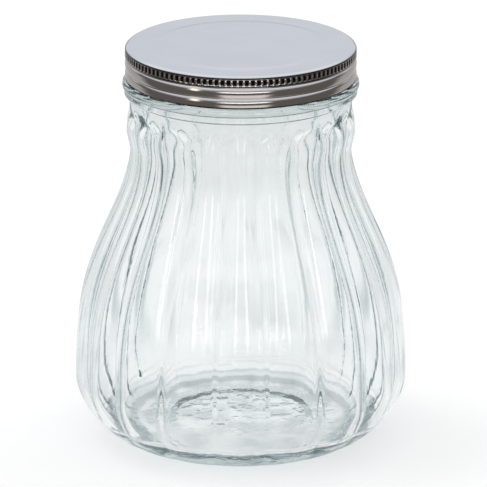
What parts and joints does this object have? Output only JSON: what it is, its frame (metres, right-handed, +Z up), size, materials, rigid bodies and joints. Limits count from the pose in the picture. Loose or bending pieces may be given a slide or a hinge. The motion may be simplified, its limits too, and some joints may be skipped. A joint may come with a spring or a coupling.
{
  "type": "glass storage jar",
  "caption": "Pear-shaped storage jar of clear glass, with rounded lobes and sharp creases down its wall, closed by a knurled screw lid of formed steel sheet.",
  "frame": {"origin": "middle of the foot, on the surface that the jar stands on", "axes": "+Z up along the jar's axis; -Y towards the front, where one lobe is centred; +X to the right"},
  "size_m": [0.1546, 0.1564, 0.1884],
  "materials": {
    "clear_glass": "clear moulded glass with a faint blue-green tint, smooth and glossy",
    "lid_steel": "bright steel sheet, satin on the flat top and glossier on the rolled skirt"
  },
  "bodies": {
    "root": {"jar": "clear_glass", "lid": "lid_steel"}
  },
  "joints": []
}
